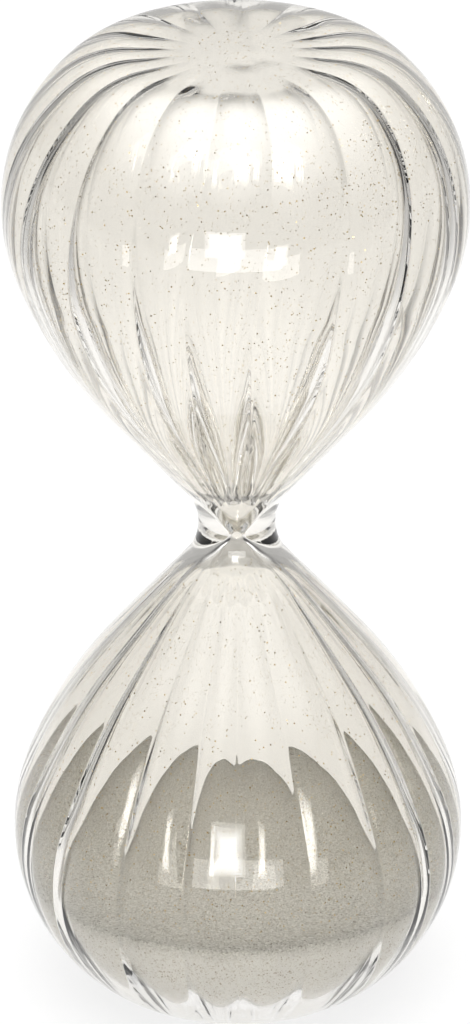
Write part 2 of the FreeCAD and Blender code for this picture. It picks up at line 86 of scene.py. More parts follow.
# %% Turn a grid of points into a mesh object
def grid_mesh(name, points, first_pole=None, last_pole=None):
    """Rows by columns of points, closed round the columns.

    The faces join row i to row i + 1, so that with rows running from the top down the
    outside of a solid and columns turning left, they face outwards.  A pole is one point
    that closes an end with a fan of triangles.
    """
    rows, columns = points.shape[:2]
    number = np.arange(rows * columns).reshape(rows, columns)
    right = np.roll(number, -1, axis=1)
    quads = np.stack([number[:-1], number[1:], right[1:], right[:-1]], axis=-1).reshape(-1, 4)
    vertices = points.reshape(-1, 3)
    faces = quads.tolist()
    if first_pole is not None:
        pole = len(vertices)
        vertices = np.vstack([vertices, first_pole])
        faces += np.stack([np.full(columns, pole), number[0], right[0]], axis=-1).tolist()
    if last_pole is not None:
        pole = len(vertices)
        vertices = np.vstack([vertices, last_pole])
        faces += np.stack([right[-1], number[-1], np.full(columns, pole)], axis=-1).tolist()
    return mesh_object(name, vertices, faces)


def mesh_object(name, vertices, faces):
    """A smooth-shaded mesh object at the origin."""
    mesh = bpy.data.meshes.new(name)
    mesh.from_pydata(np.asarray(vertices).tolist(), [], faces)
    mesh.polygons.foreach_set("use_smooth", np.ones(len(mesh.polygons), dtype=bool))
    mesh.update()
    piece = bpy.data.objects.new(name, mesh)
    bpy.context.scene.collection.objects.link(piece)
    print("%s: %d vertices, %d faces" % (name, len(mesh.vertices), len(mesh.polygons)))
    return piece


# %% [markdown]
# A material is written as sums and products of patterns.  Blender wants a Math node for
# each, so a small class wraps a socket and adds the node when Python meets the operator.
# Any other node comes from one method, which takes its type, its settings and its inputs.


# %% Shader sockets as Python values
class Shader:
    """The node tree of one material, with a method that makes any node."""

    def __init__(self, name):
        self.material = bpy.data.materials.new(name)
        self.material.use_nodes = True
        self.tree = self.material.node_tree
        self.tree.nodes.clear()
        self.place = self.make("ShaderNodeTexCoord").out("Object")
        self.up = self.make("ShaderNodeSeparateXYZ", None, Vector=self.place).out("Z")

    def make(self, kind, settings=None, **inputs):
        """A node of a type: first its settings, then its sockets by name or number."""
        node = self.tree.nodes.new(kind)
        for name, value in (settings or {}).items():
            if name == "stops":
                set_stops(node.color_ramp, value)
            else:
                setattr(node, name, value)
        for name, value in inputs.items():
            numbered = name[0] == "n" and name[1:].isdigit()
            key = int(name[1:]) if numbered else name.replace("_", " ")
            self.feed(node.inputs[key], value)
        return Node(self, node)

    def feed(self, socket, value):
        """Link a Value, or set a plain number or colour."""
        if isinstance(value, Value):
            self.tree.links.new(value.socket, socket)
        else:
            socket.default_value = value

    def math(self, operation, *values):
        """A Math node of an operation on values or numbers."""
        inputs = {"n%d" % number: value for number, value in enumerate(values)}
        return self.make("ShaderNodeMath", {"operation": operation}, **inputs).out(0)

    def mix(self, share, first, second):
        """A colour between two colours."""
        settings = {"data_type": "RGBA", "blend_type": "MIX"}
        return self.make("ShaderNodeMix", settings, n0=share, n6=first, n7=second).out(2)

    def ramp(self, value, stops):
        """Colours along a value."""
        return self.make("ShaderNodeValToRGB", {"stops": stops}, Fac=value).out("Color")

    def noise(self, scale, detail=2.0, roughness=0.5):
        """Soft noise over the object's own coordinates, 0 to 1."""
        node = self.make("ShaderNodeTexNoise", None, Vector=self.place, Scale=scale,
                         Detail=detail, Roughness=roughness)
        return node.out("Fac")

    def surface(self, shader):
        """Send a shader to the material's output."""
        self.make("ShaderNodeOutputMaterial", None, Surface=shader)
        return self.material


class Node:
    """A shader node; its outputs come out as Values."""

    def __init__(self, shader, node):
        self.shader = shader
        self.node = node

    def out(self, key):
        return Value(self.shader, self.node.outputs[key])


class Value:
    """An output socket that can be added, multiplied and compared."""

    def __init__(self, shader, socket):
        self.shader = shader
        self.socket = socket

    def __add__(self, other):
        return self.shader.math("ADD", self, other)

    def __sub__(self, other):
        return self.shader.math("SUBTRACT", self, other)

    def __rsub__(self, other):
        return self.shader.math("SUBTRACT", other, self)

    def __mul__(self, other):
        return self.shader.math("MULTIPLY", self, other)

    def __gt__(self, other):
        return self.shader.math("GREATER_THAN", self, other)

    __radd__ = __add__
    __rmul__ = __mul__


def set_stops(ramp, stops):
    """Give a colour ramp its (place, colour) stops."""
    while len(ramp.elements) < len(stops):
        ramp.elements.new(0.5)
    for element, (place, colour) in zip(ramp.elements, stops):
        element.position = place
        element.color = colour


# %% [markdown]
# ## The outline
# The outside of the glass is smooth: a body of revolution, without the ribs of the inside.
# From the middle of the neck to the crown the outside is a hollow neck curve, a straight
# flank and three arcs that turn it over to the flat.  Each stretch has one curvature, so
# the slope is a running sum of curvature times length, and the place is a running sum of
# the slope's cosine and sine.  Both bulbs use the same outline.

# %% Work out the outline from its stretches
SLOPES = np.radians([90.0, 50.5, 50.5, 69.5, 138.0, 180.0])
RADII = np.array([17.0, 0.0, 136.0, 51.5, 26.0]) * MM
FLANK = 1
NECK_RADIUS = 10.6 * MM
SAMPLES = 40001


def outline():
    """Radius, height above the neck and slope along half of the outside, by length.

    An arc's length is its turn times its radius; the straight flank, whose radius is
    given as 0, takes the length that the height leaves; the flat of the crown is what is
    left to the axis.
    """
    turns = np.diff(SLOPES)
    lengths = np.abs(turns) * RADII
    rise = np.sign(turns) * RADII * (np.cos(SLOPES[:-1]) - np.cos(SLOPES[1:]))
    run = np.sign(turns) * RADII * (np.sin(SLOPES[1:]) - np.sin(SLOPES[:-1]))
    lengths[FLANK] = (half_height - rise.sum()) / math.sin(SLOPES[FLANK])
    run[FLANK] = lengths[FLANK] * math.cos(SLOPES[FLANK])
    flat = NECK_RADIUS + run.sum()
    knots = np.concatenate([[0.0], np.cumsum(lengths), [lengths.sum() + flat]])
    length = np.linspace(0.0, knots[-1], SAMPLES)
    slope = np.interp(length, knots, np.append(SLOPES, SLOPES[-1]))
    step = length[1] - length[0]
    radius = NECK_RADIUS + np.concatenate([[0.0], np.cumsum(
        0.5 * step * (np.cos(slope[1:]) + np.cos(slope[:-1])))])
    rise = np.concatenate([[0.0], np.cumsum(
        0.5 * step * (np.sin(slope[1:]) + np.sin(slope[:-1])))])
    return length, radius, rise, slope, knots


LENGTH, RADIUS, RISE, SLOPE, KNOTS = outline()
RADIUS = RADIUS * (cad_box[1][0] / RADIUS.max())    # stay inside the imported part's box
CROWN = LENGTH[-1]
print("widest radius %.4f m, half outline %.4f m long, flat radius %.4f m"
      % (RADIUS.max(), CROWN, np.interp(KNOTS[-2], LENGTH, RADIUS)))

# %% [markdown]
# ## The wall
# Blowing thins the glass at the belly and leaves it thick at the throat and the crown.
# The mould that shaped the gather left ribs, and they end up on the inside: each of the
# eighteen panels is thinnest in its middle and thickens to a crest on both sides, like a
# row of shallow lenses.  So the wall is a thickness, worked out over the outline and round
# the axis, and the inside surface is the outside moved in along its own normal.
#
# Places along the outline are signed lengths from the middle of the neck: plus going up,
# minus going down.  The tables give millimetres of length and of thickness.  In the throat
# the wall closes to the orifice, with a small cup above it, a cone below it, and a collar
# where the upper bulb begins.

# %% Thickness of the wall without its ribs
BULB = {18.0: 3.4, 25.0: 3.0, 45.0: 2.3, 70.0: 1.9, 100.0: 1.7, 125.0: 2.1, 145.0: 2.8,
        160.0: 3.1, 205.0: 3.2}
CUP = {1.5: 7.8, 3.5: 7.2, 6.5: 6.3, 9.5: 5.6}
COLLAR = {13.0: 5.2, 17.0: 3.3}
PINCH_AND_CONE = {0.0: 8.6, -1.5: 10.3, -3.5: 8.2, -7.0: 6.3, -10.0: 4.9}
SIGNED = np.concatenate([-LENGTH[:0:-1], LENGTH])
SMOOTHING = 3.0 * MM


def smooth_line(stations):
    """A quantity along the whole outline: straight runs with their corners rounded.

    Stations are millimetres of signed length and of the quantity; the rounding is the
    running mean under a cosine bell.
    """
    places = np.array(sorted(stations))
    values = np.array([stations[place] for place in places])
    coarse = np.interp(SIGNED, places * MM, values * MM)
    samples = int(SMOOTHING / (SIGNED[1] - SIGNED[0]))
    bell = np.hanning(2 * samples + 1)
    padded = np.pad(coarse, samples, mode="edge")
    return np.convolve(padded, bell / bell.sum(), "valid")


def mirrored(stations):
    """The same stations on both sides of the neck."""
    return {side * place: value for place, value in stations.items() for side in (1.0, -1.0)}


WALL = smooth_line({**mirrored(BULB), **COLLAR, **CUP, **PINCH_AND_CONE})


def plain_wall(along):
    """Thickness at signed lengths from the neck."""
    return np.interp(along, SIGNED, WALL)


# %% [markdown]
# Hand work leaves the ribs a little uneven: each stands a degree or two off its place, one
# is taller than the next, and they wander as they climb.  The ribs of the lower bulb lead
# over to those of the upper bulb in the neck, and those to the ribs round the crown.
# Seeded noise keeps the same unevenness on every run.

# %% The ribs
RIBS = 18
CREST = smooth_line({
    -184.0: 0.0, -165.0: 0.9, -152.0: 1.2, -135.0: 0.7, -115.0: 0.9, -100.0: 1.7, -86.0: 2.3,
    -70.0: 2.1, -45.0: 1.2, -25.0: 0.5, -10.0: 0.0, 11.0: 0.0, 19.0: 2.8, 32.0: 3.6, 45.0: 3.8,
    60.0: 3.0, 75.0: 2.1, 100.0: 1.6, 125.0: 1.5, 150.0: 1.2, 170.0: 0.6, 184.0: 0.0})
COLUMNS_PER_RIB = 12
CROWDING = 0.75
CROWN_RIBS = np.radians([-351.0, -334.0, -315.5, -295.0, -274.0, -251.0, -229.5, -207.0, -188.0,
                         -170.5, -155.0, -137.5, -120.0, -97.5, -78.0, -52.5, -30.5, -10.0])
UPPER_RIBS = np.radians([-358.0, -340.0, -320.0, -300.0, -278.0, -255.0, -232.0, -210.0, -190.0,
                         -174.0, -157.0, -136.0, -116.0, -104.0, -85.0, -65.0, -44.0, -20.0])
LOWER_RIBS = np.radians([-353.5, -333.0, -312.0, -291.0, -270.0, -249.5, -228.0, -207.0, -186.5,
                         -165.6, -146.5, -123.2, -104.5, -90.0, -71.4, -48.1, -30.6, -14.4])

NECK_BLEND = 16.0 * MM
CROWN_BLEND = (95.0 * MM, 165.0 * MM)
SWAY_REACH = math.radians(0.7)
SWAY_WAVES = np.array([28.0, 47.0])

dice = np.random.default_rng(7)
upper_heights = dice.uniform(0.8, 1.15, RIBS)
lower_heights = dice.uniform(0.8, 1.15, RIBS)
sways = dice.uniform(-1.0, 1.0, (2, RIBS))


def smooth_step(value, low, high):
    """0 below low, 1 above high, and a smooth S between."""
    share = np.clip((value - low) / (high - low), 0.0, 1.0)
    return share * share * (3.0 - 2.0 * share)


def crest_height(along):
    """Height of a crest over the middle of its panel; none in the throat or the crown."""
    return np.interp(along, SIGNED, CREST)


def crest_shape(from_crest, rounding=0.02):
    """1 on a crest and 0 in the middle of a panel: a parabola with its cusp rounded off."""
    eased = np.sqrt(from_crest ** 2 + rounding ** 2) - rounding
    return (1.0 - np.clip(eased, 0.0, 1.0)) ** 2


def rib_columns(along):
    """Azimuth, distance from the nearest crest and height share of every grid column.

    Columns crowd together near a crest, where the wall turns fastest.  Between the bulbs
    the crests of one lead over to the crests of the other.
    """
    step = np.arange(COLUMNS_PER_RIB) / COLUMNS_PER_RIB
    eased = step - CROWDING * np.sin(2.0 * np.pi * step) / (2.0 * np.pi)
    upward = smooth_step(along, -NECK_BLEND, NECK_BLEND)[:, None]
    crownward = smooth_step(along, *CROWN_BLEND)[:, None]
    long_wave, short_wave = np.sin(SWAY_WAVES[:, None, None] * along[:, None])
    sway = sways[0] * long_wave + sways[1] * short_wave
    crest = (LOWER_RIBS + upward * (UPPER_RIBS - LOWER_RIBS)
             + crownward * (CROWN_RIBS - UPPER_RIBS) + SWAY_REACH * sway)
    tall = lower_heights + upward * (upper_heights - lower_heights)
    next_crest = np.concatenate([crest[:, 1:], crest[:, :1] + 2.0 * np.pi], axis=1)
    next_tall = np.roll(tall, -1, axis=1)
    azimuth = crest[:, :, None] + (next_crest - crest)[:, :, None] * eased
    height_share = tall[:, :, None] + (next_tall - tall)[:, :, None] * eased
    from_crest = np.tile(2.0 * np.minimum(eased, 1.0 - eased), RIBS)
    rows = len(along)
    return azimuth.reshape(rows, -1), from_crest, height_share.reshape(rows, -1)


def glass_surface(along, depth_share, clearance=0.0):
    """Grid points at a share of the wall's depth: 0 is the outside, 1 the inside.

    A point is the outline's point moved in along its normal by share times thickness,
    and by the clearance.
    """
    azimuth, from_crest, height_share = rib_columns(along)
    crest = crest_height(along)[:, None] * height_share * crest_shape(from_crest)
    wall = plain_wall(along)[:, None] + crest
    depth = depth_share * wall + clearance
    distance = np.abs(along)
    slope = np.interp(distance, LENGTH, SLOPE)[:, None]
    radius = np.interp(distance, LENGTH, RADIUS)[:, None] - depth * np.sin(slope)
    rise = np.interp(distance, LENGTH, RISE)[:, None] + depth * np.cos(slope)
    level = np.clip(neck_height + np.sign(along)[:, None] * rise, 0.0, height)
    return np.stack([radius * np.cos(azimuth), radius * np.sin(azimuth), level], axis=-1)


# %% [markdown]
# ## The glass body
# On the bench the two bulbs and the throat are one piece of glass, joined in the flame
# while soft.  Three separate meshes would leave faces inside the glass, and light would
# bend at seams that are not there.  So one closed surface stands for all three: from the
# crown down the outside, in through the filling hole, and up the inside to the crown.
# Under the crown, where the blowing iron was cracked off, a few soft lumps stay: each is a
# bell with a place, a depth and a spread, in millimetres.


# %% Rows from the crown to the base, and the body
LUMPS = ((-11.7, -21.3, 0.42, 3.2), (-2.3, -25.0, 0.3, 2.6), (1.5, -7.0, 0.42, 3.2),
         (7.0, -4.5, 0.32, 2.8), (-25.0, 14.0, 0.4, 3.4), (-12.0, 24.0, 0.4, 3.0),
         (20.0, 18.0, 0.4, 3.2))


def lumps(x, y):
    """How far the lumps hang down at x, y: depth times exp(-(distance / spread) squared)."""
    return MM * sum(depth * np.exp(-((x / MM - at_x) ** 2 + (y / MM - at_y) ** 2) / spread ** 2)
                    for at_x, at_y, depth, spread in LUMPS)


def spaced(first, last, spacing):
    """Evenly spaced lengths from first up to, but not including, last."""
    count = max(1, int(round(abs(last - first) / spacing)))
    return first + (last - first) * np.arange(count) / count


FLAT_EDGE = KNOTS[-2]
POLE_GAP = 0.8 * MM
NECK_REACH = 22.0 * MM
HOLE_EDGE = CROWN - hole_radius
FLAT_STEP, BULB_STEP, NECK_STEP = 3.0 * MM, 2.0 * MM, 0.8 * MM
down_the_upper = np.concatenate([
    spaced(CROWN - POLE_GAP, FLAT_EDGE, FLAT_STEP),
    spaced(FLAT_EDGE, NECK_REACH, BULB_STEP),
    spaced(NECK_REACH, 0.0, NECK_STEP),
])
down_the_lower = np.concatenate([
    spaced(0.0, -NECK_REACH, NECK_STEP),
    spaced(-NECK_REACH, -FLAT_EDGE, BULB_STEP),
    spaced(-FLAT_EDGE, -HOLE_EDGE, FLAT_STEP),
    [-HOLE_EDGE],
])
ALL_ROWS = np.concatenate([down_the_upper, down_the_lower])
CEILING_FROM = 150.0 * MM

outside = glass_surface(ALL_ROWS, 0.0)
inside = glass_surface(ALL_ROWS, 1.0)
ceiling = ALL_ROWS > CEILING_FROM
inside[ceiling, :, 2] -= lumps(inside[ceiling, :, 0], inside[ceiling, :, 1])
body_rows = np.concatenate([outside, inside[::-1]])
crown_wall = plain_wall(np.array([CROWN]))[0]
glass_body = grid_mesh("glass_body", body_rows, [0.0, 0.0, height],
                       [0.0, 0.0, height - crown_wall])
throat = inside[np.abs(ALL_ROWS) < NECK_REACH]
print("crown wall %.4f m, throat radius %.4f m"
      % (crown_wall, np.hypot(throat[:, 0, 0], throat[:, 0, 1]).min()))

# %% [markdown]
# ## The sand
# The sand fills the flutes between the ribs.  Its side is the inside of the glass with a
# hair of air kept between, its floor rests on the glass, and its top is nearly flat: it
# dips away from the front by a few degrees, with a soft heave left by the last grains.
# Every column of the side starts where the wall meets the surface, so the rim follows the
# ribs exactly, where a cut made by a Boolean modifier would leave ragged triangles.

# %% The sand bed
AIR_GAP = 0.06 * MM
HEAVE = 0.35 * MM
DIP = 0.070                     # fall of the surface per length
sand_reach = -sand_box[0][1]


def heave(x, y):
    """Height of the sand's surface over its level: a few long waves added up."""
    waves = (np.sin(61.0 * x + 1.3) * np.cos(47.0 * y - 0.4)
             + 0.6 * np.sin(118.0 * x - 83.0 * y)
             + 0.35 * np.cos(190.0 * y + 151.0 * x + 0.8))
    return HEAVE * 0.5 * waves


def surface_level(x, y):
    """Height of the sand's surface: a plane that dips away from the front, with its heave."""
    return sand_level - DIP * (y + sand_reach) + heave(x, y)


SIDE_FROM, SIDE_TO, SIDE_STEP = 95.0, 201.0, 0.5    # millimetres down from the neck
SIDE_ROWS = 60


def side_column(points):
    """One column of the sand's side: the wall below the surface, cut in equal lengths."""
    steps = np.linalg.norm(np.diff(points, axis=0), axis=1)
    travelled = np.concatenate([[0.0], np.cumsum(steps)])
    start = np.interp(0.0, surface_level(points[:, 0], points[:, 1]) - points[:, 2], travelled)
    places = start + (travelled[-1] - start) * np.linspace(0.0, 1.0, SIDE_ROWS)
    return np.stack([np.interp(places, travelled, line) for line in points.T], axis=-1)


fine_rows = -np.arange(SIDE_FROM, SIDE_TO, SIDE_STEP) * MM
wall_points = glass_surface(fine_rows, 1.0, AIR_GAP)
sand_floor = wall_points[-1, 0, 2]
sand_side = np.stack([side_column(wall_points[:, column])
                      for column in range(wall_points.shape[1])], axis=1)
rim = sand_side[0]
TOP_RINGS = 60
shares = np.linspace(0.0, 1.0, TOP_RINGS + 1)[1:-1, None]
top_x = shares * rim[:, 0]
top_y = shares * rim[:, 1]
sand_top = np.stack([top_x, top_y, surface_level(top_x, top_y)], axis=-1)
sand = grid_mesh("sand", np.concatenate([sand_top, sand_side]),
                 [0.0, 0.0, surface_level(0.0, 0.0)], [0.0, 0.0, sand_floor])
print("sand from %.4f to %.4f m" % (sand_floor, rim[:, 2].max()))

# %% [markdown]
# ## Grains and glitter
# Thousands of grains lie loose on the sand, and gold flakes cling all over the inside of
# the glass.  Each is only a few faces.  A grain is an eight-sided crystal, squashed and
# turned by its own random rotation; a flake is a six-sided plate lying on the wall.


# %% Scatter small shapes over a surface
def surface_spots(grid, count, dice, weight=None):
    """Random points of a grid with their normals, as many per area as the weight says."""
    here, right = grid[:-1], np.roll(grid, -1, axis=1)[:-1]
    below, across = grid[1:], np.roll(grid, -1, axis=1)[1:]
    normal = np.cross(across - here, below - right)
    area = np.linalg.norm(normal, axis=-1)
    centre = 0.25 * (here + right + below + across)
    chance = area if weight is None else area * weight(centre)
    chance = (chance / chance.sum()).ravel()
    cell = dice.choice(chance.size, size=count, p=chance)
    u, v = dice.random((2, count, 1))
    pick = [corner.reshape(-1, 3)[cell] for corner in (here, right, below, across)]
    spots = (pick[0] * (1 - u) * (1 - v) + pick[1] * u * (1 - v)
             + pick[2] * (1 - u) * v + pick[3] * u * v)
    unit = (normal / np.maximum(area, 1e-12)[..., None]).reshape(-1, 3)[cell]
    return spots, unit


def tangent_axes(normal, dice):
    """Two unit directions square to each normal, turned at random about it."""
    helper = dice.normal(size=normal.shape)
    first = np.cross(normal, helper)
    first /= np.linalg.norm(first, axis=1, keepdims=True)
    return first, np.cross(normal, first)


def many(name, corners, faces, tones):
    """One mesh of many equal shapes: corners is shapes by corners by 3, tones one each."""
    shapes, size = corners.shape[:2]
    starts = size * np.arange(shapes)
    all_faces = [tuple(int(start) + corner for corner in face)
                 for start in starts for face in faces]
    piece = mesh_object(name, corners.reshape(-1, 3), all_faces)
    piece.data.polygons.foreach_set("use_smooth", np.zeros(len(all_faces), dtype=bool))
    tone = piece.data.attributes.new("tone", "FLOAT", "POINT")
    tone.data.foreach_set("value", np.repeat(tones, size).astype(np.float32))
    return piece


GRAIN_FACES = [(0, 2, 4), (2, 1, 4), (1, 3, 4), (3, 0, 4),
               (2, 0, 5), (1, 2, 5), (3, 1, 5), (0, 3, 5)]


def grains(name, spots, dice, smallest, largest):
    """Eight-sided crystals at the spots, each with three random half-lengths."""
    count = len(spots)
    axis = dice.normal(size=(count, 3))
    axis /= np.linalg.norm(axis, axis=1, keepdims=True)
    first, second = tangent_axes(axis, dice)
    frames = np.stack([first, second, np.cross(first, second)], axis=1)
    reach = dice.uniform(smallest, largest, (count, 3, 1))
    arms = frames * reach
    corners = np.stack([arms, -arms], axis=2).reshape(count, 6, 3)
    return many(name, spots[:, None, :] + corners, GRAIN_FACES, dice.random(count))


FLAKE_FACES = [(0, 1, 2, 3, 4, 5), (11, 10, 9, 8, 7, 6)]
FLAKE_FACES += [(i, i + 6, (i + 1) % 6 + 6, (i + 1) % 6) for i in range(6)]
FLAKE_THICKNESS = 0.03 * MM


def flakes(name, spots, normals, dice, smallest, largest, tilt=0.25):
    """Six-sided plates on a wall: a hexagon of random size, raised by its thickness."""
    count = len(spots)
    leaning = normals + tilt * dice.normal(size=normals.shape)
    leaning /= np.linalg.norm(leaning, axis=1, keepdims=True)
    first, second = tangent_axes(leaning, dice)
    angle = np.arange(6) * np.pi / 3.0
    size = dice.uniform(smallest, largest, (count, 1, 1))
    size = size * dice.uniform(0.75, 1.15, (count, 6, 1))
    ring = (np.cos(angle)[None, :, None] * first[:, None]
            + np.sin(angle)[None, :, None] * second[:, None])
    rise = leaning[:, None] * FLAKE_THICKNESS
    outer = spots[:, None] + size * ring + rise
    corners = np.concatenate([outer, outer - rise], axis=1)
    return many(name, corners, FLAKE_FACES, dice.random(count))


# %% [markdown]
# The top layer of sand lies loose, and its grains catch the light one by one.  They keep a
# little way off the glass, so that none pokes into it.

# %% Loose grains on the sand
LOOSE_GRAINS = 14000
dice = np.random.default_rng(31)
top_grid = np.concatenate([sand_top, rim[None]])
rim_reach = np.hypot(rim[:, 0], rim[:, 1]).min()


def well_inside(spots, share):
    """The spots nearer to the axis than a share of the rim's least radius."""
    return spots[np.hypot(spots[:, 0], spots[:, 1]) < share * rim_reach]


top_spots, _ = surface_spots(top_grid, LOOSE_GRAINS, dice)
loose_grains = grains("loose_grains", well_inside(top_spots, 0.985), dice, 0.10 * MM, 0.24 * MM)

# %% [markdown]
# The gold flecks are flakes of glitter that static holds to the glass.  Turning the
# hourglass over leaves drifts of them, so the chance of a flake is a sum of bell curves over
# an even share.

# %% Gold flakes on the glass
STAND_OFF = 0.03 * MM
UPPER_FLAKES, LOWER_FLAKES = 5200, 3200
DRIFTS = (((-0.050, -0.030, 0.225), 0.018, 2.0), ((0.036, -0.034, 0.262), 0.014, 1.4))
SLIDE_HEIGHT = 0.03


def upper_chance(place):
    """An even share, and strength times exp(-(distance / spread) squared) at each drift."""
    gaps = [np.linalg.norm(place - np.array(centre), axis=-1) for centre, _, _ in DRIFTS]
    drifts = [strength * np.exp(-(gap / spread) ** 2)
              for gap, (_, spread, strength) in zip(gaps, DRIFTS)]
    return 0.7 + sum(drifts)


def lower_chance(place):
    """An even share, and more just above the sand, where the flakes slide down to."""
    above = (place[..., 2] - sand_level) / SLIDE_HEIGHT
    return 0.5 + 0.9 * np.exp(-np.clip(above, 0.0, 9.0))


def wall_between(low, high, clearance):
    """Grid of the inside of the glass between two signed lengths in millimetres."""
    rows = ALL_ROWS[(ALL_ROWS > low * MM) & (ALL_ROWS < high * MM)]
    return glass_surface(rows, 1.0, clearance)


upper_grid = wall_between(12.0, CROWN / MM, STAND_OFF)
upper_spots, upper_normals = surface_spots(upper_grid, UPPER_FLAKES, dice, upper_chance)
lower_grid = wall_between(-112.0, -10.0, STAND_OFF)
lower_spots, lower_normals = surface_spots(lower_grid, LOWER_FLAKES, dice, lower_chance)
upper_flakes = flakes("upper_flakes", upper_spots, upper_normals, dice, 0.10 * MM, 0.27 * MM)
lower_flakes = flakes("lower_flakes", lower_spots, lower_normals, dice, 0.10 * MM, 0.27 * MM)

# %% [markdown]
# Some flakes have run through with the sand and lie on it at odd angles, and a few grains
# hang in the throat, just above the orifice.

# %% Gold flakes on the sand, and grains caught in the throat
GLINTS = 700
GLINT_HEIGHT = 0.12 * MM
CAUGHT_GRAINS = 16
glints, _ = surface_spots(top_grid, GLINTS, dice)
glints = well_inside(glints, 0.97)
glints[:, 2] += GLINT_HEIGHT
upward = np.tile([0.0, 0.0, 1.0], (len(glints), 1))
sand_flakes = flakes("sand_flakes", glints, upward, dice, 0.12 * MM, 0.3 * MM, tilt=0.6)

throat_spots, _ = surface_spots(wall_between(-1.6, 1.0, 0.22 * MM), CAUGHT_GRAINS, dice)
caught_grains = grains("caught_grains", throat_spots, dice, 0.12 * MM, 0.2 * MM)

# %% [markdown]
# ## Materials
# Glass is the Principled shader with full transmission.  Its tint is set per passage, so
# light that crosses both walls comes out a warm ivory; a very faint ripple in the normal
# is the mark of hand blowing.


# %% Clear glass
def clear_glass():
    look = Shader("clear_glass")
    drift = look.noise(14.0, 2.0)
    tint = look.mix(drift, (0.928, 0.910, 0.869, 1.0), (0.916, 0.896, 0.852, 1.0))
    ripple = look.noise(55.0, 2.0, 0.45)
    bump = look.make("ShaderNodeBump", None, Strength=0.12, Distance=0.0004, Height=ripple)
    glass = look.make("ShaderNodeBsdfPrincipled", None, Base_Color=tint, Roughness=0.0, IOR=1.5,
                      Transmission_Weight=1.0, Normal=bump.out("Normal"))
    return look.surface(glass.out("BSDF"))


# %% [markdown]
# Sand is a heap of single grains, so its colour is set per cell of a fine Voronoi pattern:
# most cells are warm grey, some pale quartz, and a few brown or gold.  The cell edges also
# give the bump.  Below the surface, against the glass, the sand is painted paler the deeper
# it lies.  This is partly fine dust that clings between the grains and partly painted light,
# as the bright floor below and the low lamp in front light the lower sand.


# %% Sand
# Depth over which the sand turns paler below its surface: partly dust, partly painted light.
DUST_AND_LIGHT_DEPTH = 6.0 * MM


def sand_look():
    look = Shader("sand")
    cells = look.make("ShaderNodeTexVoronoi", {"feature": "F1"}, Vector=look.place, Scale=2600.0)
    pick = look.make("ShaderNodeSeparateColor", None, Color=cells.out("Color"))
    tone = look.ramp(pick.out("Red"), [
        (0.00, (0.22, 0.17, 0.11, 1)), (0.07, (0.56, 0.54, 0.475, 1)),
        (0.50, (0.73, 0.72, 0.67, 1)), (0.90, (0.88, 0.87, 0.82, 1)),
        (0.97, (0.96, 0.95, 0.92, 1))])
    # Partly dust, partly painted light: the paler colour of the sand deep below its surface.
    dust_and_painted_light = look.ramp(pick.out("Blue"), [
        (0.00, (0.38, 0.29, 0.17, 1)), (0.05, (0.76, 0.73, 0.66, 1)),
        (0.30, (0.96, 0.95, 0.91, 1)), (1.00, (0.98, 0.975, 0.95, 1))])
    apart = look.make("ShaderNodeSeparateXYZ", None, Vector=look.place)
    surface = sand_level - DIP * (apart.out("Y") + sand_reach)
    depth = (surface - look.up) * (1.0 / DUST_AND_LIGHT_DEPTH) + 0.5 * (look.noise(160.0, 4.0) - 0.5)
    share = look.ramp(depth, [(0.1, (0, 0, 0, 1)), (0.75, (1, 1, 1, 1))])
    speckled = look.mix(share, tone, dust_and_painted_light)
    drift = look.noise(90.0, 3.0)
    shade = look.mix(drift, (0.93, 0.93, 0.93, 1), (1.0, 1.0, 1.0, 1))
    base = look.make("ShaderNodeMix", {"data_type": "RGBA", "blend_type": "MULTIPLY"},
                     n0=1.0, n6=speckled, n7=shade).out(2)
    rough = 0.95 - 0.5 * (pick.out("Green") > 0.93)
    bump = look.make("ShaderNodeBump", None, Strength=0.7, Distance=0.0003,
                     Height=cells.out("Distance") * -1.0)
    shader = look.make("ShaderNodeBsdfPrincipled", None, Base_Color=base, Roughness=rough,
                       Normal=bump.out("Normal"))
    return look.surface(shader.out("BSDF"))


def grain_look():
    """Loose grains: each takes one tone from the same range as the sand."""
    look = Shader("loose_grain")
    tone = look.make("ShaderNodeAttribute", {"attribute_name": "tone"}).out("Fac")
    colour = look.ramp(tone, [
        (0.00, (0.24, 0.17, 0.09, 1)), (0.05, (0.52, 0.47, 0.39, 1)),
        (0.55, (0.68, 0.64, 0.56, 1)), (0.90, (0.84, 0.81, 0.74, 1)),
        (0.97, (0.96, 0.95, 0.92, 1))])
    rough = 0.6 - 0.35 * (tone > 0.9)
    shader = look.make("ShaderNodeBsdfPrincipled", None, Base_Color=colour, Roughness=rough)
    return look.surface(shader.out("BSDF"))


# %% [markdown]
# The glitter is metallised film, gold with some flakes worn to brown.  Each flake carries
# one random tone as an attribute of its mesh, so one material serves thousands of them.
# It is only half metallic: a full mirror would show the dim room and look black.


# %% Gold glitter
def glitter_look():
    look = Shader("gold_glitter")
    tone = look.make("ShaderNodeAttribute", {"attribute_name": "tone"}).out("Fac")
    colour = look.ramp(tone, [
        (0.00, (0.28, 0.19, 0.08, 1)), (0.35, (0.54, 0.38, 0.14, 1)),
        (0.75, (0.76, 0.57, 0.25, 1)), (1.00, (0.94, 0.80, 0.48, 1))])
    rough = 0.45 - 0.2 * tone
    shader = look.make("ShaderNodeBsdfPrincipled", None, Base_Color=colour, Roughness=rough,
                       Metallic=0.5)
    return look.surface(shader.out("BSDF"))


# %% [markdown]
# The plug is translucent silicone and its seal clear adhesive.  Both keep their packed
# shapes, and only their finish is made here, through the slots they came with.


